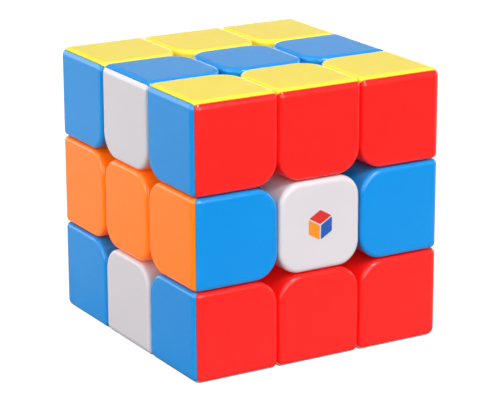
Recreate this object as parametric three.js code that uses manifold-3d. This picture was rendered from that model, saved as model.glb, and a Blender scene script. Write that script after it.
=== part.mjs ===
// A twisty puzzle cube of three by three by three pieces, as it comes apart on a bench.
//
// A core with six hollow posts sits in the middle. A screw through a washer and a spring holds a centre
// base on each post, and a cap closes the base. Twelve edges and eight corners are caught under their
// neighbours by a foot, which runs on a ball-shaped surface inside, so every layer of nine can turn.
//
// Millimetres, +Z up. The origin is the middle of the cube, and each face is named for the way it points:
// front is -Y, back +Y, left -X, right +X, top +Z and bottom -Z.

import * as THREE from 'three';
import { mergeVertices } from 'three/addons/utils/BufferGeometryUtils.js';
import Module from 'manifold-3d';

// Driving dimensions
const CUBE = 56;            // across the whole cube
const GAP = 0.3;            // between two pieces that move past each other
const BALL_GAP = 0.5;       // between two faceted ball surfaces that slide on each other
const SEAM = 0.1;           // between two pieces that are pressed together
const FOOT_CUT = 6;         // from the middle to the plane between two layers, down among the feet
const BALL = 22;            // radius of the ball surface between the outer blocks and the feet
const FOOT_BALL = 17.5;     // radius of the ball surface between the feet and the core
const WALL = 1.4;           // thickness of the hollow shells
const CORNER_ROUND = 5;     // rounding of a block's corner that points to the middle of its face
const CENTRE_ROUND = 4.7;   // rounding of the centres' four corners
const FOOT_ROUND = 2;       // rounding of the feet's corners
const OUTER_ROUND = 1.8;    // fillet along the outer edges of the whole cube
const RIM = 0.8;            // fillet around every coloured face, along the gaps
const CAP_RIM = 1;          // fillet around the centre caps
const CAP_THICKNESS = 1.25; // of the coloured plate of a centre cap
const TRAVEL = 0.6;         // how far a centre can be pulled out against its spring
const FLOOR = 1.6;          // thickness of a centre base's floor, under the spring
const WELL_RADIUS = 3.8;    // of the hole in a centre base that holds screw and spring
const SKIRT_RADIUS = 5.6;   // of the ring under a cap, which plugs into the base
const SKIRT_HEIGHT = 2.4;
const HEAD_RADIUS = 2.6;    // of the screw's pan head
const HEAD_HEIGHT = 1.7;
const SHANK_RADIUS = 1.25;
const SCREW_TIP = 8;        // from the middle of the cube to the screw's tip
const WASHER_RADIUS = 3.3;
const WASHER_THICKNESS = 0.5;
const SPRING_RADIUS = 2.4;  // from the spring's axis to the middle of its wire
const WIRE_RADIUS = 0.27;
const SPRING_TURNS = 3;
const CORE_RADIUS = 8.6;    // of the ball that carries the posts
const POST_RADIUS = 4;
const POST_TOP = 16.6;
const NECK = 8;             // across the neck between an edge's block and its foot
const CHANNEL = 5;          // across the square hole through that neck into the hollow inside
const STEM_RADIUS = 1.9;    // of the stem that joins a corner's foot to its shell

// Sizes that follow from them
const HALF = CUBE / 2;
const CUT = CUBE / 6;                       // from the middle to the plane between two layers
const FLOOR_BOTTOM = FOOT_BALL + GAP / 2;
const FLOOR_TOP = FLOOR_BOTTOM + FLOOR;
const SPRING_BOTTOM = FLOOR_TOP + TRAVEL + SEAM;
const SPRING_TOP = SPRING_BOTTOM + 3.2;
const WASHER_BOTTOM = SPRING_TOP + SEAM;
const HEAD_BOTTOM = WASHER_BOTTOM + WASHER_THICKNESS + SEAM;
const BASE_TOP = HALF - CAP_THICKNESS - SEAM;

const BALL_SEGMENTS = 24;
const ROUND_SEGMENTS = 12;                  // around a hole, a post or a screw

const X = new THREE.Vector3(1, 0, 0);
const Y = new THREE.Vector3(0, 1, 0);
const Z = new THREE.Vector3(0, 0, 1);

const FACES = {
  front: { way: Y.clone().negate(), colour: 'red' },
  back: { way: Y.clone(), colour: 'orange' },
  left: { way: X.clone().negate(), colour: 'blue' },
  right: { way: X.clone(), colour: 'green' },
  top: { way: Z.clone(), colour: 'yellow' },
  bottom: { way: Z.clone().negate(), colour: 'white' },
};

// The cube is turned into a striped pattern, so centres and edges differ from the corners' colours
const CENTRE_COLOURS = {
  front: 'white', back: 'yellow', left: 'orange', right: 'red', top: 'blue', bottom: 'green',
};
const EDGE_COLOURS = {
  front_top: 'yellow', front_bottom: 'red', back_top: 'yellow', back_bottom: 'orange',
  front_left: 'blue', front_right: 'red', back_left: 'orange', back_right: 'green',
  top_left: 'white', top_right: 'yellow', bottom_left: 'white', bottom_right: 'yellow',
};

const plastic = (colour) => new THREE.MeshStandardMaterial({ color: colour, roughness: 0.35, metalness: 0 });
const MATERIALS = {
  red: plastic('#e8281f'),
  orange: plastic('#ff8a3a'),
  blue: plastic('#1d8fe0'),
  green: plastic('#1fae4e'),
  yellow: plastic('#ffe23d'),
  white: plastic('#ebe9ea'),
  black: plastic('#1c1d20'),
  steel: new THREE.MeshStandardMaterial({ color: '#b9bcc0', roughness: 0.3, metalness: 1 }),
};

const wasm = await Module();
wasm.setup();

// A closed three.js geometry as a solid that can be joined and cut
function solid(geometry) {
  geometry.deleteAttribute('normal');
  geometry.deleteAttribute('uv');
  const merged = mergeVertices(geometry, 1e-5);
  const corners = [...merged.index.array];
  const triangles = [];
  for (let i = 0; i < corners.length; i += 3) {
    const [a, b, c] = corners.slice(i, i + 3);
    if (a !== b && b !== c && c !== a) triangles.push(a, b, c);
  }
  return new wasm.Manifold(new wasm.Mesh({
    numProp: 3,
    vertProperties: new Float32Array(merged.attributes.position.array),
    triVerts: new Uint32Array(triangles),
  }));
}

// A solid as a three.js geometry
function geometryOf(body) {
  const mesh = body.getMesh();
  const geometry = new THREE.BufferGeometry();
  geometry.setAttribute('position', new THREE.BufferAttribute(mesh.vertProperties, 3));
  geometry.setIndex(new THREE.BufferAttribute(mesh.triVerts, 1));
  return geometry;
}

function ball(radius, segments = BALL_SEGMENTS) {
  return solid(new THREE.SphereGeometry(radius, segments, segments / 2));
}

// An upright cylinder on the Z axis
function cylinder(radius, bottom, top) {
  const geometry = new THREE.CylinderGeometry(radius, radius, top - bottom, ROUND_SEGMENTS);
  geometry.rotateX(Math.PI / 2).translate(0, 0, (bottom + top) / 2);
  return solid(geometry);
}

// The same cylinder, laid along a direction from the origin
function cylinderAlong(direction, radius, start, end) {
  const geometry = new THREE.CylinderGeometry(radius, radius, end - start, ROUND_SEGMENTS);
  geometry.translate(0, (start + end) / 2, 0);
  geometry.applyQuaternion(new THREE.Quaternion().setFromUnitVectors(Y, direction));
  return solid(geometry);
}

// A body turned about an axis, one turn out of so many
function turned(body, axis, share) {
  const turn = new THREE.Matrix4().makeRotationAxis(axis, 2 * Math.PI * share);
  return body.transform(turn.elements);
}

// A prism that stands on the XY plane and ends at height top. Its outline is the rectangle from low to
// high, and each corner that has a radius is rounded: low-low, high-low, high-high, then low-high. A
// rim is the fillet around its top.
function prism(low, high, radii, top, rim = 0, fine = 3) {
  const [[x0, y0], [x1, y1]] = [low, high];
  const [r0, r1, r2, r3] = radii;
  const outline = new THREE.Shape();
  outline.moveTo(x0 + r0, y0);
  outline.lineTo(x1 - r1, y0);
  if (r1) outline.absarc(x1 - r1, y0 + r1, r1, -Math.PI / 2, 0);
  outline.lineTo(x1, y1 - r2);
  if (r2) outline.absarc(x1 - r2, y1 - r2, r2, 0, Math.PI / 2);
  outline.lineTo(x0 + r3, y1);
  if (r3) outline.absarc(x0 + r3, y1 - r3, r3, Math.PI / 2, Math.PI);
  outline.lineTo(x0, y0 + r0);
  if (r0) outline.absarc(x0 + r0, y0 + r0, r0, Math.PI, 1.5 * Math.PI);
  const geometry = new THREE.ExtrudeGeometry(outline, {
    depth: top - 2 * rim,
    curveSegments: fine,
    bevelEnabled: rim > 0,
    bevelThickness: rim,
    bevelSize: rim,
    bevelOffset: -rim,
    bevelSegments: fine,
  });
  geometry.translate(0, 0, rim);
  return solid(geometry);
}

// The whole cube with its outer edges filleted, which shapes the outside of edges and corners
function filletedCube() {
  const upright = prism([-HALF, -HALF], [HALF, HALF], Array(4).fill(OUTER_ROUND), CUBE)
    .translate(0, 0, -HALF);
  return upright.intersect(turned(upright, X, 1 / 4)).intersect(turned(upright, Y, 1 / 4));
}

// The block of the front-top edge between two layer planes, pulled in by a margin on every side. The
// outline of its top face is turned half way about its diagonal to make its front face.
const EDGE_DIAGONAL = new THREE.Vector3(0, -1, 1).normalize();
function edgeBlock(cut, round, margin, rim = 0, fine = 3) {
  const side = cut - GAP / 2 - margin;
  const near = cut + GAP / 2 + margin;
  const far = HALF - margin;
  const upper = prism([-side, -far], [side, -near], [0, 0, round, round], far, rim, fine);
  return upper.intersect(turned(upper, EDGE_DIAGONAL, 1 / 2));
}

// The block of the front-top-right corner, in the same way, with three faces about its diagonal
const CORNER_DIAGONAL = new THREE.Vector3(1, -1, 1).normalize();
function cornerBlock(cut, round, margin, rim = 0, fine = 3) {
  const near = cut + GAP / 2 + margin;
  const far = HALF - margin;
  const upper = prism([near, -far], [far, -near], [0, 0, 0, round], far, rim, fine);
  const [front, right] = [1 / 3, 2 / 3].map((share) => turned(upper, CORNER_DIAGONAL, share));
  return upper.intersect(front).intersect(right);
}

const WHOLE = filletedCube();
const BLOCK_BOTTOM = ball(BALL + BALL_GAP / 2);
const FOOT_TOP = ball(BALL - BALL_GAP / 2);
const FOOT_UNDERSIDE = ball(FOOT_BALL + GAP / 2);
const HOLLOW_BOTTOM = ball(BALL + WALL, 16);

// An edge: a hollow block, and below the ball surface its foot, joined by a neck. A channel through foot
// and neck opens the hollow inside.
function makeEdge() {
  const block = edgeBlock(CUT, CORNER_ROUND, 0, RIM).intersect(WHOLE).subtract(BLOCK_BOTTOM);
  const foot = edgeBlock(FOOT_CUT, FOOT_ROUND, 0, 0, 1).intersect(FOOT_TOP);
  const hollow = edgeBlock(CUT, CORNER_ROUND - WALL, WALL, 0, 1).subtract(HOLLOW_BOTTOM);
  const length = CUBE / 2;
  const neck = new THREE.BoxGeometry(NECK, NECK, 2).translate(0, 0, BALL);
  const channel = new THREE.BoxGeometry(CHANNEL, CHANNEL, length).translate(0, 0, length / 2);
  const lean = (geometry) => solid(geometry.rotateX(Math.PI / 4));
  return block.add(foot).add(lean(neck)).subtract(FOOT_UNDERSIDE).subtract(hollow).subtract(lean(channel));
}

// A corner's hollow shell, with a hole for the stem of its foot
function makeCorner() {
  const hollow = cornerBlock(CUT, CORNER_ROUND - WALL, WALL, 0, 1).subtract(HOLLOW_BOTTOM);
  const hole = cylinderAlong(CORNER_DIAGONAL, STEM_RADIUS + SEAM, BALL - 2, BALL + 3 * WALL);
  const block = cornerBlock(CUT, CORNER_ROUND, 0, RIM).intersect(WHOLE).subtract(BLOCK_BOTTOM);
  return block.subtract(hollow).subtract(hole);
}

// A corner's foot, with the stem that plugs into the shell
function makeCornerFoot() {
  const foot = cornerBlock(FOOT_CUT, FOOT_ROUND, 0, 0, 1).intersect(FOOT_TOP).subtract(FOOT_UNDERSIDE);
  return foot.add(cylinderAlong(CORNER_DIAGONAL, STEM_RADIUS, BALL - 2, BALL + 3 * WALL));
}

// A centre's base: the upper block, a column down to the core, and the well for screw and spring
function makeCentre() {
  const side = CUT - GAP / 2;
  const foot = FOOT_CUT - GAP / 2;
  const upper = prism([-side, -side], [side, side], Array(4).fill(CENTRE_ROUND), BASE_TOP);
  const column = prism([-foot, -foot], [foot, foot], Array(4).fill(FOOT_ROUND), BALL + 1, 0, 1);
  return upper.subtract(BLOCK_BOTTOM)
    .add(column.subtract(FOOT_UNDERSIDE))
    .subtract(cylinder(WELL_RADIUS, FLOOR_TOP, HALF))
    .subtract(cylinder(SKIRT_RADIUS + SEAM, BASE_TOP - SKIRT_HEIGHT - 2 * SEAM, HALF))
    .subtract(cylinder(SHANK_RADIUS + GAP, FOOT_BALL - 2, FLOOR_TOP + 1));
}

// A centre's cap: the coloured plate, and the ring under it that plugs into the base
function makeCap() {
  const side = CUT - GAP / 2;
  const plate = prism([-side, -side], [side, side], Array(4).fill(CENTRE_ROUND), HALF, CAP_RIM);
  const below = cylinder(2 * CUT, -1, HALF - CAP_THICKNESS);
  const skirt = cylinder(SKIRT_RADIUS, BASE_TOP - SKIRT_HEIGHT, HALF - CAP_THICKNESS / 2)
    .subtract(cylinder(SKIRT_RADIUS - 0.9, BASE_TOP - SKIRT_HEIGHT - 1, HALF - CAP_THICKNESS));
  return plate.subtract(below).add(skirt);
}

// A body of revolution about Z, from its outline in the half plane: pairs of radius and height
function lathe(points) {
  const outline = points.map(([radius, height]) => new THREE.Vector2(radius, height));
  const geometry = new THREE.LatheGeometry(outline, ROUND_SEGMENTS);
  return solid(geometry.rotateX(Math.PI / 2));
}

// A screw with a rounded pan head and a cross recess
function makeScrew() {
  const top = HEAD_BOTTOM + HEAD_HEIGHT;
  const body = lathe([
    [0, SCREW_TIP], [SHANK_RADIUS, SCREW_TIP + 1], [SHANK_RADIUS, HEAD_BOTTOM],
    [HEAD_RADIUS, HEAD_BOTTOM], [HEAD_RADIUS, top - 0.7], [HEAD_RADIUS - 0.7, top], [0, top],
  ]);
  const slot = (length, width) => solid(new THREE.BoxGeometry(length, width, 2).translate(0, 0, top));
  return body.subtract(slot(2.6, 0.6)).subtract(slot(0.6, 2.6));
}

function makeWasher() {
  const hole = SHANK_RADIUS + GAP;
  const top = WASHER_BOTTOM + WASHER_THICKNESS;
  return lathe([
    [hole, WASHER_BOTTOM], [WASHER_RADIUS, WASHER_BOTTOM], [WASHER_RADIUS, top], [hole, top],
    [hole, WASHER_BOTTOM],
  ]);
}

// The middle line of a coil spring
class Coil extends THREE.Curve {
  getPoint(t) {
    const angle = 2 * Math.PI * SPRING_TURNS * t;
    const rise = SPRING_TOP - SPRING_BOTTOM - 2 * WIRE_RADIUS;
    const height = SPRING_BOTTOM + WIRE_RADIUS + rise * t;
    return new THREE.Vector3(SPRING_RADIUS * Math.cos(angle), SPRING_RADIUS * Math.sin(angle), height);
  }
}

function makeSpring() {
  const wire = new THREE.Shape().absarc(0, 0, WIRE_RADIUS, 0, 2 * Math.PI);
  const windings = { extrudePath: new Coil(), steps: 10 * SPRING_TURNS, curveSegments: 3 };
  return solid(new THREE.ExtrudeGeometry(wire, windings));
}

// The core: a ball with a post to every face, and a bore in every post for its screw
function makeCore() {
  let core = ball(CORE_RADIUS, 16);
  for (const { way } of Object.values(FACES)) {
    core = core.add(cylinderAlong(way, POST_RADIUS, 0, POST_TOP));
  }
  for (const { way } of Object.values(FACES)) {
    core = core.subtract(cylinderAlong(way, SHANK_RADIUS + SEAM, SCREW_TIP - 0.5, HALF));
  }
  return core;
}

const cube = new THREE.Group();

function place(name, geometry, colour, turn, parent = cube) {
  const mesh = new THREE.Mesh(geometry, MATERIALS[colour].clone());
  mesh.name = name;
  mesh.quaternion.copy(turn);
  parent.add(mesh);
}

// The turn that takes the front face to one face, and the top face to another
function turnTo(front, top) {
  const basis = new THREE.Matrix4().makeBasis(top.clone().cross(front), front.clone().negate(), top);
  return new THREE.Quaternion().setFromRotationMatrix(basis);
}

place('core', geometryOf(makeCore()), 'black', new THREE.Quaternion());

const stack = {
  screw: geometryOf(makeScrew()),
  washer: geometryOf(makeWasher()),
  spring: geometryOf(makeSpring()),
  centre: geometryOf(makeCentre()),
  cap: geometryOf(makeCap()),
};
for (const [face, { way }] of Object.entries(FACES)) {
  const turn = new THREE.Quaternion().setFromUnitVectors(Z, way);
  for (const piece of ['screw', 'washer', 'spring']) place(`${face}_${piece}`, stack[piece], 'steel', turn);
  for (const piece of ['centre', 'cap']) place(`${face}_${piece}`, stack[piece], CENTRE_COLOURS[face], turn);
}

const edge = geometryOf(makeEdge());
for (const [faces, colour] of Object.entries(EDGE_COLOURS)) {
  const [first, second] = faces.split('_');
  place(`${faces}_edge`, edge, colour, turnTo(FACES[first].way, FACES[second].way));
}

const corner = geometryOf(makeCorner());
const cornerFoot = geometryOf(makeCornerFoot());
for (const front of ['front', 'back']) {
  for (const top of ['top', 'bottom']) {
    for (const side of ['left', 'right']) {
      const [first, second] = [FACES[front].way, FACES[top].way];
      const sideFits = second.clone().cross(first).dot(FACES[side].way) > 0;
      const turn = sideFits ? turnTo(first, second) : turnTo(second, first);
      place(`${front}_${top}_${side}_corner`, corner, FACES[top].colour, turn);
      place(`${front}_${top}_${side}_foot`, cornerFoot, 'black', turn);
    }
  }
}

export default cube;
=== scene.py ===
"""Looks of a twisty puzzle cube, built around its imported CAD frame.

Shapes are built in millimetres round one canonical place (top face, front-top edge, front-top-right
corner), turned to all their places, and scaled to metres. The 24 turns of a cube take the top shell of
one edge to all 24 edge shells, and the top shell of one corner to all 24 corner shells.
"""

import itertools
import math

import bmesh
import bpy
from mathutils import Matrix, Vector


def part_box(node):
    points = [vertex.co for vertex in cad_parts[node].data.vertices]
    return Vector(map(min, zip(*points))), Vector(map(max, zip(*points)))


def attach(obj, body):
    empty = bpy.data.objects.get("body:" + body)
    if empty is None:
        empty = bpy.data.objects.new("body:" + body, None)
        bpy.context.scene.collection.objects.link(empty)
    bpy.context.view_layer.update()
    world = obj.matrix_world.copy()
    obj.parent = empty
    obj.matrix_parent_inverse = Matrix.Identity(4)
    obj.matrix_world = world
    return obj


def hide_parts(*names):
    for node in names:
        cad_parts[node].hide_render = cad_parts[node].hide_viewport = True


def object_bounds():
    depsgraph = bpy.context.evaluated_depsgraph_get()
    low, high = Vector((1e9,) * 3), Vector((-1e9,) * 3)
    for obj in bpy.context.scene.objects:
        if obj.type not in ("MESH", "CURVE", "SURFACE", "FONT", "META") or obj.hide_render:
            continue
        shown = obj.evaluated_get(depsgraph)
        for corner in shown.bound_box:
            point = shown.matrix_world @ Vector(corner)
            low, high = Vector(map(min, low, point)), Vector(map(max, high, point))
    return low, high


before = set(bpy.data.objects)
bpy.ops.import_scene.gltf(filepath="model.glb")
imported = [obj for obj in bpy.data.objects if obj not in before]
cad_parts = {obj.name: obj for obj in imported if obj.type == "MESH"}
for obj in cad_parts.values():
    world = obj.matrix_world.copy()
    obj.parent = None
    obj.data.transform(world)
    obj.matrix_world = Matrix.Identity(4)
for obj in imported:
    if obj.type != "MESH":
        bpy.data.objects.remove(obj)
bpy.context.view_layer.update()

MM = 0.001


def box_mm(node):
    low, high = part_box(node)
    return low / MM, high / MM


# Sizes from the frame, in mm
HALF = box_mm("top_cap")[1].z                       # from the middle of the cube to a face
SIDE = box_mm("top_cap")[1].x                       # half the width of a centre or an edge
NEAR = box_mm("front_top_right_corner")[0].x        # where a corner's block begins
FOOT_NEAR = box_mm("front_top_right_foot")[0].x     # where a corner's foot begins
BASE_TOP = box_mm("top_centre")[1].z
SKIRT_BOTTOM = box_mm("top_cap")[0].z
SCREW_TIP, SCREW_TOP = (corner.z for corner in box_mm("top_screw"))
HEAD_RADIUS = box_mm("top_screw")[1].x
WASHER_BOTTOM, WASHER_TOP = (corner.z for corner in box_mm("top_washer"))
WASHER_RADIUS = box_mm("top_washer")[1].x
SPRING_BOTTOM, SPRING_TOP = (corner.z for corner in box_mm("top_spring"))
POST_TOP = box_mm("core")[1].z

# Sizes of the CAD part that no box gives, in mm
GAP = NEAR - SIDE       # between neighbouring blocks
SEAM = 0.1              # between pieces that are clipped or plugged together
FOOT_SIDE = FOOT_NEAR - GAP
BLOCK_BALL = 22.25      # ball surface under the outer blocks
FOOT_BALL = 21.75       # ball surface on top of the feet
UNDER_BALL = 17.65      # ball surface under the feet
WALL = 1.4
CORNER_ROUND = 5        # of the corners where four blocks meet
CENTRE_ROUND = 4.7      # the same on the centres
FOOT_ROUND = 2
OUTER_ROUND = 1.8       # along the outer edges of the whole cube
CAP_THICKNESS = 1.25
FLOOR_TOP = 19.25       # of a centre base, where its spring stands
WELL_RADIUS = 3.8
SKIRT_RADIUS = 5.6
SHANK_RADIUS = 1.25
SPRING_RADIUS = 2.4
WIRE_RADIUS = 0.27
CORE_RADIUS = 8.6
POST_RADIUS = 4
BORE_BOTTOM = 7.5       # of the hole for a screw, in its post
NECK = 8                # across the neck between an edge's block and its foot
NECK_TOP = 26
CHANNEL = 5             # across the square hole through that neck
STEM_RADIUS = 1.9
STEM_TOP = 26.2
STEM_BOTTOM = 19        # of stems and necks, inside their feet

# Details that only the looks have, in mm
RIM = 1.15              # soft rounding of the coloured faces, along the gaps
CAP_RIM = 1.3           # the same on the caps
RIM_PROFILE = 0.6       # of those roundings, from an arc at 0.5 towards a square corner at 1
SEAM_RIM = 0.12         # rounding of the edges where a cap meets its base
MITRE_GAP = 0.05        # from the mitre plane to each of the two shells that meet there
NECK_ROUND = 0.9
NECK_HOLE_ROUND = 1
NECK_HOLE_TOP = 24.75   # above the floor of the edge's block
CHANNEL_ROUND = 0.7
STEM_CHAMFER = 0.3
POST_CHAMFER = 0.4
WASHER_ROUND = 0.1
SKIRT_WALL = 0.9
SKIRT_CHAMFER = 0.2
BEAD = 0.05             # how far the skirt's clip bead stands out
BEAD_RISE = 0.3         # from the skirt's foot to the bead, and from there to the bead's end
SLOT = 1.2              # across the slots in the skirt
SLOT_TOP = 0.5          # from the plate of the cap down to the end of a slot
PITCH = 0.8             # of the screw's thread
THREAD_DEPTH = 0.22
THREAD_START = 0.6      # from the screw's tip
RIDGE_WIDTH = 0.625     # of the pitch
FADE_IN = 1.2           # along the thread's start
FADE_OUT = 0.8          # along its end
TIP_SHARE = 0.55        # of the radius, where the thread starts; it is whole 1 mm further up
PLAIN_SHANK = 1.2       # between the thread and the head
RUNOUT = 0.25           # from the thread's root to the whole shank
CROWN_RISE = 0.5        # of the screw's head, from its rim to its flat top
CROWN_SLOPE = 1.1       # across that rise
HEAD_ROUND = 0.3
CROSS = 2.7             # along each slot of the cross recess
CROSS_WIDTH = 0.55
CROSS_DEPTH = 1
CROSS_END_TAPER = 0.7   # of its length, at its bottom
CROSS_SIDE_TAPER = 0.85     # of its width, at its bottom
SPRING_TURNS = 4.5
CLOSED_TURNS = 0.9      # at each end of the spring, nearly flat
CLOSED_RISE = 0.75      # of the wire's thickness, over those turns
PRINT_SIZE = 2.9        # side of each rhombus of the printed cube pictogram
PRINT_GAP = 0.16        # how far each rhombus is shifted from the middle of the pictogram
PRINT_ROUND = 0.22
PRINT_DEPTH = 0.04

# How far solids reach before they are cut or joined, in mm
PAST = 1                # a cutter, past what it cuts
LAP = 0.3               # a joined solid, into its neighbour
LOW = NEAR - 5          # a block that mitres cut, below the lowest of them
DEEP = 10               # a solid that a ball cuts, towards the middle of the cube

X, Y, Z = Vector((1, 0, 0)), Vector((0, 1, 0)), Vector((0, 0, 1))
FACES = {"front": -Y, "back": Y, "left": -X, "right": X, "top": Z, "bottom": -Z}
UPRIGHT = ((X, Y), (X, -Y), (-X, Y), (-X, -Y))      # the faces on both sides of a block's upright edges
CORNER_COLOURS = {
    "front": "red", "back": "orange", "left": "blue", "right": "green", "top": "yellow", "bottom": "white",
}
CENTRE_COLOURS = {
    "front": "white", "back": "yellow", "left": "orange", "right": "red", "top": "blue", "bottom": "green",
}
# The colour of an edge on a face, by the face and the face next to it
EDGE_COLOURS = {
    "front": {"top": "red", "bottom": "red", "left": "blue", "right": "blue"},
    "back": {"top": "orange", "bottom": "orange", "left": "green", "right": "green"},
    "left": {"top": "white", "bottom": "white", "front": "orange", "back": "orange"},
    "right": {"top": "yellow", "bottom": "yellow", "front": "red", "back": "red"},
    "top": {"front": "yellow", "back": "yellow", "left": "blue", "right": "blue"},
    "bottom": {"front": "white", "back": "white", "left": "green", "right": "green"},
}

# ---------------------------------------------------------------- shader nodes


class Tree:
    """The nodes of a material or a world. An input is filled with a number, a colour or another node's
    output, and the methods that work something out give back the output that holds it."""

    def __init__(self, owner):
        owner.use_nodes = True
        self.nodes = owner.node_tree.nodes
        self.links = owner.node_tree.links
        self.coordinates = self.nodes.new("ShaderNodeTexCoord").outputs

    def fill(self, node, inputs):
        """Links the inputs that are outputs of other nodes, and sets the rest."""
        for name, value in inputs.items():
            if isinstance(value, bpy.types.NodeSocket):
                self.links.new(value, node.inputs[name])
            else:
                node.inputs[name].default_value = value

    def add(self, kind, output, inputs, **settings):
        node = self.nodes.new(kind)
        for name, value in settings.items():
            setattr(node, name, value)
        self.fill(node, inputs)
        return node.outputs[output]

    def noise(self, scale, detail):
        inputs = {"Scale": scale, "Detail": detail, "Vector": self.coordinates["Object"]}
        return self.add("ShaderNodeTexNoise", "Fac", inputs)

    def mixed(self, share, first, second):
        inputs = {"Factor": share, "A": first, "B": second}
        return self.add("ShaderNodeMix", "Result", inputs, data_type="RGBA")

    def spread(self, share, low, high):
        """A number between low and high, for a share from 0 to 1."""
        return self.add("ShaderNodeMapRange", "Result", {"Value": share, "To Min": low, "To Max": high})

    def bump(self, height, strength, distance, **under):
        inputs = {"Height": height, "Strength": strength, "Distance": distance, **under}
        return self.add("ShaderNodeBump", "Normal", inputs)

    def greys(self, share, stops):
        """A grey for a share from 0 to 1, through these (share, grey) stops."""
        node = self.nodes.new("ShaderNodeValToRGB")
        ramp = node.color_ramp
        ramp.elements[0].position = stops[0][0]
        ramp.elements[1].position = stops[-1][0]
        for position, _ in stops[1:-1]:
            ramp.elements.new(position)
        for element, (_, grey) in zip(ramp.elements, stops):
            element.color = (grey, grey, grey, 1)
        self.fill(node, {"Fac": share})
        return node.outputs["Color"]

    def nearness(self, place, way, span):
        """From 0 where a place lies this far against a way, to 1 where it lies as far along it."""
        lean = self.add("ShaderNodeVectorMath", "Value", {0: place, 1: way}, operation="DOT_PRODUCT")
        inputs = {"Value": lean, "From Min": -span, "From Max": span}
        return self.add("ShaderNodeMapRange", "Result", inputs)

    def tell_camera_apart(self, unseen, seen, output):
        """One shader for the light that reaches the cube, and another for what the camera sees."""
        is_camera = self.add("ShaderNodeLightPath", "Is Camera Ray", {})
        which = self.add("ShaderNodeMixShader", "Shader", {"Fac": is_camera, 1: unseen, 2: seen})
        self.fill(self.nodes[output], {"Surface": which})


# ---------------------------------------------------------------- materials

# The light that each plastic gives back
PLASTICS = {
    "red": (0.92, 0.0165, 0.0135), "orange": (1.0, 0.215, 0.006), "blue": (0.003, 0.275, 0.715),
    "green": (0.006, 0.38, 0.065), "yellow": (0.94, 0.74, 0.05), "white": (0.665, 0.63, 0.655),
}
PAINTED_GLOW = {"orange": (0.25, 0.019, 0), "red": (0.12, 0, 0)}    # painted glow: emission that brightens orange and red and lights their recesses and seams, though the plastic is no lamp
NO_PAINTED_GLOW = (0, 0, 0)
BLACK = (30, 31, 34)                                        # sRGB, as the inks are
INKS = {"orange": (240, 140, 30), "red": (214, 40, 34), "blue": (34, 84, 170)}
SHELL_SHADE, BLACK_SHADE, INK_SHADE = 0.965, 0.7, 0.9       # the darker tone, as a share of the colour
SHELL_GLOSS, BLACK_GLOSS, INK_GLOSS = 0.15, 0.45, 0.4       # roughness
GLOSS_SPREAD = 0.03                                         # either way
FINE_GRAIN, COARSE_GRAIN = 0.02, 0.2                        # strength of the bump
SHELL_DEPTH = 0.4                                           # subsurface weight
STEEL_LIGHT, STEEL_DARK = (0.62, 0.63, 0.65, 1), (0.48, 0.49, 0.51, 1)


def linear(colour):
    """Linear light of an sRGB colour from 0 to 255."""
    return [(v / 255 / 12.92) if v < 10.3 else ((v / 255 + 0.055) / 1.055) ** 2.4 for v in colour]


def shaded(colour, share):
    return [v * share for v in colour]


def plastic(name, colour, shade, roughness, grain=FINE_GRAIN, depth=0.0, painted_glow=NO_PAINTED_GLOW):
    """Moulded plastic, coloured through: two close tones in slow patches, a satin gloss that varies, and
    the faint ripple and grain of a moulded surface. A painted glow, where given, is emission that
    brightens the colour and lights its recesses and seams."""
    material = bpy.data.materials.new(name)
    tree = Tree(material)
    patches = tree.noise(scale=60, detail=2)
    cloudy = tree.noise(scale=250, detail=3)
    ripple = tree.bump(tree.noise(scale=220, detail=1), strength=0.25, distance=0.00002)
    grainy = tree.bump(tree.noise(scale=6000, detail=2), strength=grain, distance=0.00001, Normal=ripple)
    tree.fill(tree.nodes["Principled BSDF"], {
        "IOR": 1.5,
        "Subsurface Weight": depth,
        "Subsurface Scale": 0.0015,
        "Subsurface Radius": [0.15 + 0.85 * v for v in colour],
        # Emission is the painted glow: light that the plastic gives though it is no lamp
        "Emission Color": (*painted_glow, 1),
        "Emission Strength": 1 if any(painted_glow) else 0,
        "Base Color": tree.mixed(patches, (*colour, 1), (*shaded(colour, shade), 1)),
        "Roughness": tree.spread(cloudy, roughness - GLOSS_SPREAD, roughness + GLOSS_SPREAD),
        "Normal": grainy,
    })
    return material


def steel():
    material = bpy.data.materials.new("steel")
    tree = Tree(material)
    worn = tree.noise(scale=900, detail=4)
    tree.fill(tree.nodes["Principled BSDF"], {
        "Metallic": 1,
        "Base Color": tree.mixed(worn, STEEL_LIGHT, STEEL_DARK),
        "Roughness": tree.spread(worn, low=0.22, high=0.42),
        "Normal": tree.bump(worn, strength=0.15, distance=0.00001),
    })
    return material


def all_materials():
    made = {"steel": steel()}
    made["core"] = plastic("core_plastic", linear(BLACK), BLACK_SHADE, BLACK_GLOSS, COARSE_GRAIN)
    for name, colour in PLASTICS.items():
        # Orange and red get a painted glow: emission that stands in for light in their recesses and seams
        painted_glow = PAINTED_GLOW.get(name, NO_PAINTED_GLOW)
        made[name] = plastic(
            f"{name}_plastic", colour, SHELL_SHADE, SHELL_GLOSS, depth=SHELL_DEPTH, painted_glow=painted_glow
        )
    for name, srgb in INKS.items():
        made[f"{name}_ink"] = plastic(f"{name}_ink", linear(srgb), INK_SHADE, INK_GLOSS)
    return made


MATERIALS = all_materials()

# ---------------------------------------------------------------- mesh tools

SMOOTH_BELOW = math.radians(34)
MERGE_BELOW = 0.0005    # mm
ALIKE = 0.99            # least cosine between two ways that are taken for one

# Segments round a whole body
BALL_STEPS, CORE_BALL_STEPS, HOLLOW_BALL_STEPS = 96, 72, 48
ROD_STEPS, SKIRT_STEPS, SCREW_STEPS = 64, 72, 48

# Segments across a rounding
CORNER_STEPS, OUTER_STEPS, RIM_STEPS, CAP_RIM_STEPS, SEAM_RIM_STEPS = 14, 9, 9, 8, 2
FOOT_STEPS, HOLLOW_STEPS, BAR_STEPS, PRINT_STEPS, HEAD_STEPS, WASHER_STEPS = 8, 6, 5, 4, 4, 3

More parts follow.
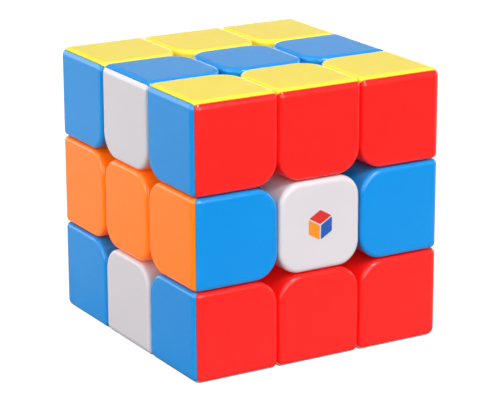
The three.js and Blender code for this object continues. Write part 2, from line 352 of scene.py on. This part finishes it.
# Segments along the thread, for each pitch, and along and round the spring's wire
PITCH_STEPS, SPRING_TURN_STEPS, WIRE_STEPS = 8, 36, 14
NEXT = 0.0001           # of the wire's whole way, to the points on both sides that give its direction


def in_scene(name, data):
    made = bpy.data.objects.new(name, data)
    bpy.context.scene.collection.objects.link(made)
    return made


def shape(bm, name="shape"):
    """A bmesh as an object in the scene, ready to be cut."""
    mesh = bpy.data.meshes.new(name)
    bmesh.ops.recalc_face_normals(bm, faces=bm.faces)
    bm.to_mesh(mesh)
    bm.free()
    return in_scene(name, mesh)


def block(low, high):
    bm = bmesh.new()
    bmesh.ops.create_cube(bm, size=2)
    for vertex in bm.verts:
        vertex.co = [low[i] if vertex.co[i] < 0 else high[i] for i in range(3)]
    bm.normal_update()
    return bm


def between(bm, *pairs):
    """The edges between faces that point in these pairs of ways."""
    found = []
    for edge in bm.edges:
        ways = [face.normal for face in edge.link_faces]
        for a, b in pairs:
            if any(p.dot(a) > ALIKE and q.dot(b) > ALIKE for p, q in (ways, ways[::-1])):
                found.append(edge)
    return found


def bevel(bm, edges, radius, segments, profile=0.5):
    bmesh.ops.bevel(
        bm, geom=edges, offset=radius, offset_type="OFFSET", segments=segments, profile=profile,
        affect="EDGES", clamp_overlap=False, loop_slide=True,
    )
    bm.normal_update()


def rounded_rim(bm, is_skin, radius, segments):
    """Rounds every edge between a face of the skin and a wall."""
    rim = [edge for edge in bm.edges if sum(is_skin(face.normal) for face in edge.link_faces) == 1]
    bevel(bm, rim, radius, segments, RIM_PROFILE)


def ball(radius, steps=BALL_STEPS):
    bm = bmesh.new()
    bmesh.ops.create_uvsphere(bm, u_segments=steps, v_segments=steps // 2, radius=radius)
    return shape(bm)


def ring(bm, radii, height):
    """Vertices round Z, one for each of these radii."""
    turns = [2 * math.pi * i / len(radii) for i in range(len(radii))]
    return [bm.verts.new((r * math.cos(t), r * math.sin(t), height)) for r, t in zip(radii, turns)]


def bridge(bm, rings):
    """Faces from each ring of vertices to the next. A ring can be one vertex, repeated."""
    for one, following in zip(rings, rings[1:]):
        for i in range(len(one)):
            j = (i + 1) % len(one)
            corners = list(dict.fromkeys((one[i], one[j], following[j], following[i])))
            if len(corners) > 2:
                bm.faces.new(corners)


def lathe(outline, steps=ROD_STEPS):
    """A closed body of revolution about Z. The outline is a loop of (radius, height) points; a point on
    the axis becomes one vertex."""
    bm = bmesh.new()
    rings = []
    for radius, height in outline:
        if radius == 0:
            rings.append([bm.verts.new((0, 0, height))] * steps)
        else:
            rings.append(ring(bm, [radius] * steps, height))
    bridge(bm, rings + rings[:1])
    return shape(bm)


def rod(radius, low, high, chamfer=0.0):
    if not chamfer:
        return lathe([(0, low), (radius, low), (radius, high), (0, high)])
    return lathe([
        (0, low), (radius - chamfer, low), (radius, low + chamfer),
        (radius, high - chamfer), (radius - chamfer, high), (0, high),
    ])


def rounded_bar(width, low, high, radius):
    """A square bar on Z with rounded edges."""
    bm = block((-width / 2, -width / 2, low), (width / 2, width / 2, high))
    bevel(bm, between(bm, *UPRIGHT), radius, BAR_STEPS)
    return shape(bm)


def rounded(outline, radius, which, steps):
    """The outline with the corners at these places rounded."""
    out = []
    for i, point in enumerate(outline):
        if i not in which:
            out.append(point)
            continue
        here = Vector(point)
        before = (Vector(outline[i - 1]) - here).normalized()
        after = (Vector(outline[(i + 1) % len(outline)]) - here).normalized()
        for k in range(steps + 1):
            t = k / steps
            out.append(tuple(here + before * radius * (1 - t) ** 2 + after * radius * t**2))
    return out


def combine(target, operation, *others):
    """Joins or cuts exact solids, and drops the others."""
    for other in others:
        modifier = target.modifiers.new(operation, "BOOLEAN")
        modifier.operation = operation
        modifier.solver = "EXACT"
        modifier.object = other
    mesh = bpy.data.meshes.new_from_object(target.evaluated_get(bpy.context.evaluated_depsgraph_get()))
    target.modifiers.clear()
    target.data = mesh
    for other in others:
        bpy.data.objects.remove(other)
    return target


def cut(target, *others):
    return combine(target, "DIFFERENCE", *others)


def join(target, *others):
    return combine(target, "UNION", *others)


def common(target, *others):
    return combine(target, "INTERSECT", *others)


def basis(x, y, z):
    return Matrix((x, y, z)).transposed()


def moved(thing, matrix):
    thing.data.transform(matrix)
    return thing


def spun(thing, axis, degrees):
    return moved(thing, Matrix.Rotation(math.radians(degrees), 4, axis))


def along(direction, thing):
    """Turns something that stands on Z to stand along a direction, square to X."""
    side = (X - direction * X.dot(direction)).normalized()
    return moved(thing, basis(side, direction.cross(side), direction).to_4x4())


def along_axis(way, thing):
    """Turns something that stands on Z to stand along any way, the short way round."""
    return moved(thing, Z.rotation_difference(way).to_matrix().to_4x4())


def slice_off(bm, point, normal):
    """Keeps what lies behind the plane, and closes the cut."""
    everything = [*bm.verts, *bm.edges, *bm.faces]
    made = bmesh.ops.bisect_plane(bm, geom=everything, plane_co=point, plane_no=normal, clear_outer=True)
    rim = [item for item in made["geom_cut"] if isinstance(item, bmesh.types.BMEdge)]
    bmesh.ops.edgeloop_fill(bm, edges=rim)
    bm.normal_update()


def finished(thing):
    """The mesh of a canonical piece, smooth over its roundings and sharp at its edges, with normals that
    keep flat faces flat."""
    bm = bmesh.new()
    bm.from_mesh(thing.data)
    bmesh.ops.remove_doubles(bm, verts=bm.verts, dist=MERGE_BELOW)
    bmesh.ops.dissolve_degenerate(bm, edges=bm.edges, dist=MERGE_BELOW)
    for face in bm.faces:
        face.smooth = True
    for edge in bm.edges:
        edge.smooth = len(edge.link_faces) == 2 and edge.calc_face_angle(0) < SMOOTH_BELOW
    bm.to_mesh(thing.data)
    bm.free()
    modifier = thing.modifiers.new("normals", "WEIGHTED_NORMAL")
    modifier.keep_sharp = True
    modifier.weight = 100
    mesh = bpy.data.meshes.new_from_object(thing.evaluated_get(bpy.context.evaluated_depsgraph_get()))
    bpy.data.objects.remove(thing)
    return mesh


# ---------------------------------------------------------------- places and names

TO_METRES = Matrix.Scale(MM, 4)

# The turns of a cube, each as where it takes X, Y and Z
TURNS = [
    basis(x, y, x.cross(y))
    for x, y in itertools.permutations(FACES.values(), 2)
    if abs(x.dot(y)) < 0.5
]

EDGES = sorted({name[:-5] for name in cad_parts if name.endswith("_edge")})
CORNERS = sorted({name[:-7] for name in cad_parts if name.endswith("_corner")})


def face_name(way):
    return next(name for name, other in FACES.items() if other.dot(way) > ALIKE)


def named(places, *faces):
    """The edge or corner between these faces, by its name in the frame."""
    return next(place for place in places if set(place.split("_")) == set(faces))


def piece(name, mesh, turn, body, colour, *nodes):
    """Puts a copy of a canonical mesh in its place. It rides on its body and stands for its CAD nodes."""
    own = mesh.copy()
    own.transform(TO_METRES @ turn.to_4x4())
    own.materials.clear()
    own.materials.append(MATERIALS[colour])
    made = in_scene(name, own)
    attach(made, body)
    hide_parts(*nodes)


# ---------------------------------------------------------------- edges and corners

EDGE_DIAGONAL = Vector((0, -1, 1)).normalized()
CORNER_DIAGONAL = Vector((1, -1, 1)).normalized()
FRONT_MITRE = Vector((0, 1, 1)).normalized()        # into the top shell, from its mitre with the front one
RIGHT_MITRE = Vector((-1, 0, 1)).normalized()       # the same, from its mitre with the right one
LEAN = 0.001                                        # most that the normal of a flat face leans


def hollow(low, high, *pairs):
    """The space inside a block, above its curved floor, rounded between these pairs of ways."""
    bm = block(low, high)
    bevel(bm, between(bm, *pairs), CORNER_ROUND - WALL, HOLLOW_STEPS)
    return cut(shape(bm), ball(BLOCK_BALL + WALL, HOLLOW_BALL_STEPS))


def on_edge_skin(normal):
    """Whether a face of the front-top edge is on its coloured outside."""
    return abs(normal.x) < LEAN and normal.y < LEAN and normal.z > -LEAN


def on_corner_skin(normal):
    """Whether a face of the front-top-right corner is on its coloured outside."""
    return normal.x > -LEAN and normal.y < LEAN and normal.z > -LEAN


def edge_shell():
    """The top shell of the front-top edge."""
    bm = block((-SIDE, -HALF, LOW), (SIDE, -NEAR, HALF))
    bevel(bm, between(bm, (X, Y), (-X, Y)), CORNER_ROUND, CORNER_STEPS)
    bevel(bm, between(bm, (-Y, Z)), OUTER_ROUND, OUTER_STEPS)
    rounded_rim(bm, on_edge_skin, RIM, RIM_STEPS)
    slice_off(bm, FRONT_MITRE * MITRE_GAP, -FRONT_MITRE)
    inside = hollow(
        (-SIDE + WALL, -HALF + WALL, LOW - PAST), (SIDE - WALL, -NEAR - WALL, HALF - WALL), (X, Y), (-X, Y)
    )
    neck_hole = rounded_bar(NECK + 2 * SEAM, STEM_BOTTOM - PAST, NECK_HOLE_TOP, NECK_HOLE_ROUND)
    return finished(cut(shape(bm), ball(BLOCK_BALL), inside, along(EDGE_DIAGONAL, neck_hole)))


def above_mitre():
    """The space above the mitre of the front-top edge."""
    space = shape(block((-HALF, 0, -HALF), (HALF, HALF, 2 * HALF)))
    return moved(spun(space, "X", 45), Matrix.Translation(FRONT_MITRE * MITRE_GAP))


def edge_foot():
    """The top half of the foot of the front-top edge."""
    bm = block((-FOOT_SIDE, -HALF, FOOT_NEAR), (FOOT_SIDE, -FOOT_NEAR, HALF))
    bevel(bm, between(bm, (X, Y), (-X, Y), (X, -Z), (-X, -Z)), FOOT_ROUND, FOOT_STEPS)
    foot = common(shape(bm), ball(FOOT_BALL))
    neck = along(EDGE_DIAGONAL, rounded_bar(NECK, STEM_BOTTOM, NECK_TOP, NECK_ROUND))
    channel = along(EDGE_DIAGONAL, rounded_bar(CHANNEL, DEEP, HALF + 2 * PAST, CHANNEL_ROUND))
    return finished(common(cut(join(foot, neck), ball(UNDER_BALL), channel), above_mitre()))


def corner_shell():
    """The top shell of the front-top-right corner."""
    bm = block((NEAR, -HALF, LOW), (HALF, -NEAR, HALF))
    bevel(bm, between(bm, (-X, Y)), CORNER_ROUND, CORNER_STEPS)
    bevel(bm, between(bm, (-Y, Z), (X, Z), (X, -Y)), OUTER_ROUND, OUTER_STEPS)
    rounded_rim(bm, on_corner_skin, RIM, RIM_STEPS)
    for way in (FRONT_MITRE, RIGHT_MITRE):
        slice_off(bm, way * MITRE_GAP, -way)
    inside = hollow(
        (NEAR + WALL, -HALF + WALL, LOW - PAST), (HALF - WALL, -NEAR - WALL, HALF - WALL), (-X, Y)
    )
    stem_hole = rod(STEM_RADIUS + SEAM, STEM_BOTTOM - PAST, STEM_TOP + PAST)
    return finished(cut(shape(bm), ball(BLOCK_BALL), inside, along(CORNER_DIAGONAL, stem_hole)))


def corner_foot():
    """The foot of the front-top-right corner, with the stem that plugs into the shells."""
    bm = block((FOOT_NEAR, -HALF, FOOT_NEAR), (HALF, -FOOT_NEAR, HALF))
    bevel(bm, between(bm, (-X, Y), (-X, -Z), (Y, -Z)), FOOT_ROUND, FOOT_STEPS)
    foot = common(shape(bm), ball(FOOT_BALL))
    stem = along(CORNER_DIAGONAL, rod(STEM_RADIUS, STEM_BOTTOM, STEM_TOP, STEM_CHAMFER))
    return finished(cut(join(foot, stem), ball(UNDER_BALL)))


def add_edges_and_corners():
    edge_shell_mesh, corner_shell_mesh = edge_shell(), corner_shell()
    edge_foot_mesh, corner_foot_mesh = edge_foot(), corner_foot()
    footed_corners = set()
    for turn in TURNS:
        face, other, third = (face_name(turn @ way) for way in (Z, -Y, X))
        edge = f"{named(EDGES, face, other)}_edge"
        colour = EDGE_COLOURS[face][other]
        piece(f"{edge}_{face}_shell", edge_shell_mesh, turn, edge, colour, edge)
        piece(f"{edge}_{face}_foot", edge_foot_mesh, turn, edge, colour, edge)
        place = named(CORNERS, face, other, third)
        corner = f"{place}_corner"
        colour = CORNER_COLOURS[face]
        piece(f"{corner}_{face}_shell", corner_shell_mesh, turn, corner, colour, corner)
        if corner not in footed_corners:
            footed_corners.add(corner)
            piece(f"{corner}_foot", corner_foot_mesh, turn, corner, "core", f"{place}_foot")


# ---------------------------------------------------------------- centres, screws and springs


def centre_base():
    """The top centre's base: its block over its foot, with a well for the screw, washer and spring."""
    upper = block((-SIDE, -SIDE, DEEP), (SIDE, SIDE, BASE_TOP))
    bevel(upper, between(upper, *UPRIGHT), CENTRE_ROUND, CORNER_STEPS)
    rounded_rim(upper, lambda normal: normal.z > ALIKE, SEAM_RIM, SEAM_RIM_STEPS)
    column = block((-FOOT_SIDE, -FOOT_SIDE, DEEP), (FOOT_SIDE, FOOT_SIDE, BLOCK_BALL + PAST))
    bevel(column, between(column, *UPRIGHT), FOOT_ROUND, FOOT_STEPS)
    return finished(cut(
        join(cut(shape(upper), ball(BLOCK_BALL)), cut(shape(column), ball(UNDER_BALL))),
        rod(WELL_RADIUS, FLOOR_TOP, HALF),
        rod(SKIRT_RADIUS + SEAM, SKIRT_BOTTOM - 2 * SEAM, HALF + PAST),
        rod(SHANK_RADIUS + GAP, DEEP, FLOOR_TOP + PAST),
    ))


def skirt(plate_bottom):
    """The ring under a cap that clips into the base, with a bead round its foot, cut by four slots."""
    inner = SKIRT_RADIUS - SKIRT_WALL
    body = lathe([
        (inner, SKIRT_BOTTOM + SKIRT_CHAMFER),
        (inner + SKIRT_CHAMFER, SKIRT_BOTTOM),
        (SKIRT_RADIUS - SKIRT_CHAMFER, SKIRT_BOTTOM),
        (SKIRT_RADIUS + BEAD, SKIRT_BOTTOM + BEAD_RISE),
        (SKIRT_RADIUS, SKIRT_BOTTOM + 2 * BEAD_RISE),
        (SKIRT_RADIUS, plate_bottom + LAP),
        (inner, plate_bottom + LAP),
    ], SKIRT_STEPS)
    reach = SKIRT_RADIUS + PAST
    low, high = (-reach, -SLOT / 2, SKIRT_BOTTOM - PAST), (reach, SLOT / 2, plate_bottom - SLOT_TOP)
    return cut(body, *(spun(shape(block(low, high)), "Z", turn) for turn in (0, 90)))


def cap(*marks):
    """The top centre's cap, with the places of its printed marks cut out."""
    plate_bottom = HALF - CAP_THICKNESS
    bm = block((-SIDE, -SIDE, plate_bottom), (SIDE, SIDE, HALF))
    bevel(bm, between(bm, *UPRIGHT), CENTRE_ROUND, CORNER_STEPS)
    rounded_rim(bm, lambda normal: normal.z > ALIKE, CAP_RIM, CAP_RIM_STEPS)
    rounded_rim(bm, lambda normal: normal.z < -ALIKE, SEAM_RIM, SEAM_RIM_STEPS)
    return finished(cut(join(shape(bm), skirt(plate_bottom)), *marks))


def thread_radius(height, share, start, end):
    """The screw's radius at a height and a share of a turn. The thread's ridge grows from the start and
    fades towards the end, and the first millimetre is tapered."""
    root = SHANK_RADIUS - THREAD_DEPTH
    phase = (height / PITCH - share) % 1
    ridge = max(0.0, 1 - abs(phase - 0.5) * (2 / RIDGE_WIDTH))
    fade = max(0, min(1, (height - start) / FADE_IN, (end - height) / FADE_OUT))
    taper = min(1, TIP_SHARE + (height - start) * (1 - TIP_SHARE))
    return (root + THREAD_DEPTH * ridge * fade) * taper


def recess_slot(x, y, x_taper, y_taper):
    """One slot of the screw's cross recess, this long each way and narrower at its bottom."""
    bm = block((-x / 2, -y / 2, SCREW_TOP - CROSS_DEPTH), (x / 2, y / 2, SCREW_TOP + CROSS_DEPTH / 2))
    for vertex in bm.verts:
        if vertex.co.z < SCREW_TOP:
            vertex.co.x *= x_taper
            vertex.co.y *= y_taper
    return shape(bm)


def cross_recess():
    return join(
        recess_slot(CROSS, CROSS_WIDTH, CROSS_END_TAPER, CROSS_SIDE_TAPER),
        recess_slot(CROSS_WIDTH, CROSS, CROSS_SIDE_TAPER, CROSS_END_TAPER),
    )


def screw():
    """A pan-head screw with a rolled thread and a cross recess."""
    head_bottom = WASHER_TOP + SEAM
    start, end = SCREW_TIP + THREAD_START, head_bottom - PLAIN_SHANK
    bm = bmesh.new()
    rings = []
    height = start
    while height < end:
        shares = [i / SCREW_STEPS for i in range(SCREW_STEPS)]
        rings.append(ring(bm, [thread_radius(height, share, start, end) for share in shares], height))
        height += PITCH / PITCH_STEPS
    root = SHANK_RADIUS - THREAD_DEPTH
    shank = [(root, end), (SHANK_RADIUS, end + RUNOUT), (SHANK_RADIUS, head_bottom)]
    head = rounded([
        shank[-1], (HEAD_RADIUS, head_bottom), (HEAD_RADIUS, SCREW_TOP - CROWN_RISE),
        (HEAD_RADIUS - CROWN_SLOPE, SCREW_TOP), (0, SCREW_TOP),
    ], HEAD_ROUND, {1, 2, 3}, HEAD_STEPS)[1:-1]
    rings += [ring(bm, [radius] * SCREW_STEPS, height) for radius, height in shank + head]
    tip, crown = bm.verts.new((0, 0, SCREW_TIP)), bm.verts.new((0, 0, SCREW_TOP))
    bridge(bm, [[tip] * SCREW_STEPS, *rings, [crown] * SCREW_STEPS])
    return finished(cut(shape(bm), cross_recess()))


def washer():
    hole = SHANK_RADIUS + GAP
    outline = [
        (hole, WASHER_BOTTOM), (WASHER_RADIUS, WASHER_BOTTOM),
        (WASHER_RADIUS, WASHER_TOP), (hole, WASHER_TOP),
    ]
    return finished(lathe(rounded(outline, WASHER_ROUND, {0, 1, 2, 3}, WASHER_STEPS), SKIRT_STEPS))


def spring_rise(share):
    """How high the spring has risen, from 0 to 1, at a share of its way. It is nearly flat in its closed
    ends, and rises evenly between them."""
    closed = CLOSED_RISE * 2 * WIRE_RADIUS / (SPRING_TOP - SPRING_BOTTOM - 2 * WIRE_RADIUS)
    end = CLOSED_TURNS / SPRING_TURNS
    if share < end:
        return closed * share / end
    if share > 1 - end:
        return 1 - closed * (1 - share) / end
    return closed + (1 - 2 * closed) * (share - end) / (1 - 2 * end)


def on_spring(share):
    """The middle of the wire, at a share of its way."""
    angle = 2 * math.pi * SPRING_TURNS * share
    low, high = SPRING_BOTTOM + WIRE_RADIUS, SPRING_TOP - WIRE_RADIUS
    height = low + (high - low) * spring_rise(share)
    return Vector((SPRING_RADIUS * math.cos(angle), SPRING_RADIUS * math.sin(angle), height))


def spring():
    """A compression spring with closed ends, as one round wire."""
    count = int(SPRING_TURNS * SPRING_TURN_STEPS)
    bm = bmesh.new()
    rings = []
    for i in range(count + 1):
        share = i / count
        here = on_spring(share)
        ahead = (on_spring(min(1, share + NEXT)) - on_spring(max(0, share - NEXT))).normalized()
        out = Vector((here.x, here.y, 0)).normalized()
        up = ahead.cross(out)
        angles = [2 * math.pi * k / WIRE_STEPS for k in range(WIRE_STEPS)]
        ways = [out * math.cos(angle) + up * math.sin(angle) for angle in angles]
        rings.append([bm.verts.new(here + way * WIRE_RADIUS) for way in ways])
    bridge(bm, rings)
    bm.faces.new(rings[0][::-1])
    bm.faces.new(rings[-1])
    return finished(shape(bm))


def core():
    """The spider: a ball with six hollow posts."""
    body = ball(CORE_RADIUS, CORE_BALL_STEPS)
    posts = [along_axis(way, rod(POST_RADIUS, -POST_TOP, POST_TOP, POST_CHAMFER)) for way in (X, Y, Z)]
    bores = [along_axis(way, rod(SHANK_RADIUS + SEAM, BORE_BOTTOM, HALF)) for way in FACES.values()]
    return finished(cut(join(body, *posts), *bores))


# ---------------------------------------------------------------- printed pictogram

# The rhombi of a small cube on the front cap, each with its ink and the angle of its first side, in degrees
PRINTS = {"left": ("orange", 150), "right": ("blue", 270), "top": ("red", 30)}
PRINT_BACK = -HALF + PRINT_DEPTH


def print_rhombus(start, behind, before):
    """One rhombus of the pictogram, between these two depths."""
    corners = [Vector((0, 0))]
    for turn in (0, 60, 120):
        angle = math.radians(start + turn)
        corners.append(Vector((math.cos(angle), math.sin(angle))) * PRINT_SIZE)
    shift = sum(corners, Vector((0, 0))).normalized() * PRINT_GAP
    bm = bmesh.new()
    rings = [[bm.verts.new((c.x + shift.x, y, c.y + shift.y)) for c in corners] for y in (behind, before)]
    bm.faces.new(rings[0])
    bm.faces.new(rings[1][::-1])
    bridge(bm, rings)
    bm.normal_update()
    upright = [edge for edge in bm.edges if edge.verts[0].co.y != edge.verts[1].co.y]
    bevel(bm, upright, PRINT_ROUND, PRINT_STEPS)
    return shape(bm)


def printed_cap(turn):
    """The cap that this turn takes to the front, with the places of the rhombi cut out."""
    back_to_top = turn.inverted().to_4x4()
    places = [print_rhombus(start, PRINT_BACK, -HALF - PAST) for _, start in PRINTS.values()]
    return cap(*(moved(place, back_to_top) for place in places))


def add_prints():
    for name, (ink, start) in PRINTS.items():
        mesh = finished(print_rhombus(start, PRINT_BACK, -HALF))
        mesh.transform(TO_METRES)
        mesh.materials.append(MATERIALS[f"{ink}_ink"])
        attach(in_scene(f"front_cap_print_{name}", mesh), "front_cap")


def add_centres():
    base_mesh, cap_mesh = centre_base(), cap()
    screw_mesh, washer_mesh, spring_mesh = screw(), washer(), spring()
    for face, way in FACES.items():
        turn = next(turn for turn in TURNS if (turn @ Z).dot(way) > ALIKE)
        own_cap = printed_cap(turn) if face == "front" else cap_mesh
        colour = CENTRE_COLOURS[face]
        piece(f"{face}_centre_base", base_mesh, turn, f"{face}_centre", colour, f"{face}_centre")
        piece(f"{face}_centre_cap", own_cap, turn, f"{face}_cap", colour, f"{face}_cap")
        piece(f"{face}_tension_screw", screw_mesh, turn, "core", "steel", f"{face}_screw")
        piece(f"{face}_tension_washer", washer_mesh, turn, f"{face}_hub", "steel", f"{face}_washer")
        piece(f"{face}_tension_spring", spring_mesh, turn, f"{face}_hub", "steel", f"{face}_spring")


add_edges_and_corners()
add_centres()
add_prints()
piece("core_spider", core(), Matrix.Identity(3), "core", "core", "core")

# ---------------------------------------------------------------- camera and lights

low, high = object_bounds()
middle = (low + high) / 2

# The camera looks at the cube from this side, in degrees and metres
AZIMUTH, ELEVATION, ROLL = -30.5, 16.6, -0.18
DISTANCE = 0.466
ASIDE, ABOVE = 0.000576, -0.002     # of the camera's axis from the middle of the cube
LENS, SENSOR = 164.4, 36            # mm

# Soft lights that look at the cube: azimuth, elevation, distance, width, height, and the light that each
# gives in every direction
LIGHTS = {
    "key_light": (4, 49, 1.0, 0.26, 0.18, 31),
    "high_left_panel": (-92, 46, 1.0, 1.2, 0.8, 1.2),
    "front_panel": (-4, 20, 1.3, 1.5, 0.95, 2.9),
    "left_panel": (-90, 10, 1.2, 1.0, 0.6, 3.2),
    "right_panel": (92, 12, 1.3, 1.2, 0.5, 1.8),
    "back_panel": (205, 12, 1.3, 1.2, 0.5, 1.8),
    "rim_light": (150, 2.8, 1.5, 1.2, 0.16, 2.6),
}


def view_ways(azimuth, elevation):
    """The ways right, up and back of something that looks at the cube from this side."""
    turn, rise = math.radians(azimuth), math.radians(elevation)
    back = Vector((math.sin(turn) * math.cos(rise), -math.cos(turn) * math.cos(rise), math.sin(rise)))
    right = Vector((math.cos(turn), math.sin(turn), 0))
    return right, back.cross(right), back


def look(name, data, place, right, up, back):
    """Puts a camera or a light in the scene, facing away from the way back."""
    made = in_scene(name, data)
    made.location = place
    made.rotation_mode = "QUATERNION"
    made.rotation_quaternion = basis(right, up, back).to_quaternion()
    return made


def add_camera():
    right, up, back = view_ways(AZIMUTH, ELEVATION)
    roll = math.radians(ROLL)
    rolled_right = right * math.cos(roll) + up * math.sin(roll)
    rolled_up = up * math.cos(roll) - right * math.sin(roll)
    place = middle + back * DISTANCE + right * ASIDE + up * ABOVE
    data = bpy.data.cameras.new("camera")
    data.lens = LENS
    data.sensor_width = SENSOR
    data.clip_start = 0.05
    data.clip_end = 20
    bpy.context.scene.camera = look("camera", data, place, rolled_right, rolled_up, back)


def add_light(name, azimuth, elevation, distance, width, height, brightness):
    right, up, back = view_ways(azimuth, elevation)
    data = bpy.data.lights.new(name, "AREA")
    data.shape = "RECTANGLE"
    data.size = width
    data.size_y = height
    data.energy = brightness * math.pi * width * height
    look(name, data, middle + back * distance, right, up, back)


add_camera()
for name, settings in LIGHTS.items():
    add_light(name, *settings)

# ---------------------------------------------------------------- floor and studio

# Greys by how near a place lies to the camera's side, or by height, each as (share, grey) stops. The
# floor's
# greys are painted shade: the floor that the cube sees is darker towards the camera's side
FLOOR_PAINTED_SHADE = ((0, 1.0), (0.25, 0.6), (0.4, 0.6), (0.6, 0.12), (1, 0.12))
BEHIND_GREYS = ((0, 0.9), (0.15, 0.7), (0.25, 0.3), (0.5, 0.35), (0.95, 0.4))
BEFORE_GREYS = ((0, 0.4), (0.2, 0.4), (0.5, 0.3), (0.95, 0.4))
FLOOR_RADIUS = 2.5      # m
FLOOR_GAP = 0.00002     # m, under the cube
SPAN = 0.4              # m on the floor, and a share of the way out in the studio
WHITE = (1, 1, 1, 1)


def camera_side():
    """The level way from the cube towards the camera."""
    back = view_ways(AZIMUTH, ELEVATION)[2]
    return back.x, back.y, 0


def floor_material():
    """The camera sees the floor nearly white, as a studio sweep with a faint shadow. The cube sees it
    dimmer, with painted shade that is darkest on the camera's side."""
    material = bpy.data.materials.new("floor")
    tree = Tree(material)
    seen = tree.nodes["Principled BSDF"]
    tree.fill(seen, {
        "Base Color": (0.3, 0.3, 0.3, 1),
        "Roughness": 0.9,
        "Specular IOR Level": 0,
        "Emission Color": WHITE,
        "Emission Strength": 0.9,
    })
    # Painted shade: the floor's grey for the light that reaches the cube, darker towards the camera's side
    grey = tree.greys(tree.nearness(tree.coordinates["Object"], camera_side(), SPAN), FLOOR_PAINTED_SHADE)
    unseen = tree.add("ShaderNodeBsdfDiffuse", "BSDF", {"Color": grey})
    tree.tell_camera_apart(unseen, seen.outputs["BSDF"], "Material Output")
    return material


def add_floor():
    bm = bmesh.new()
    bmesh.ops.create_circle(bm, cap_ends=True, segments=96, radius=FLOOR_RADIUS)
    floor = shape(bm, "floor")
    floor.location = (middle.x, middle.y, low.z - FLOOR_GAP)
    floor.data.materials.append(floor_material())


def add_studio():
    """The studio around: greys by height, behind the cube and on the camera's side. The camera sees it
    white."""
    world = bpy.data.worlds.new("studio")
    bpy.context.scene.world = world
    tree = Tree(world)
    way = tree.coordinates["Generated"]
    height = tree.add("ShaderNodeSeparateXYZ", "Z", {"Vector": way})
    behind, before = tree.greys(height, BEHIND_GREYS), tree.greys(height, BEFORE_GREYS)
    sky = tree.nodes["Background"]
    tree.fill(sky, {"Color": tree.mixed(tree.nearness(way, camera_side(), SPAN), behind, before)})
    plain = tree.add("ShaderNodeBackground", "Background", {"Color": WHITE})
    tree.tell_camera_apart(sky.outputs["Background"], plain, "World Output")


add_floor()
add_studio()
bpy.context.scene.view_settings.view_transform = "Standard"
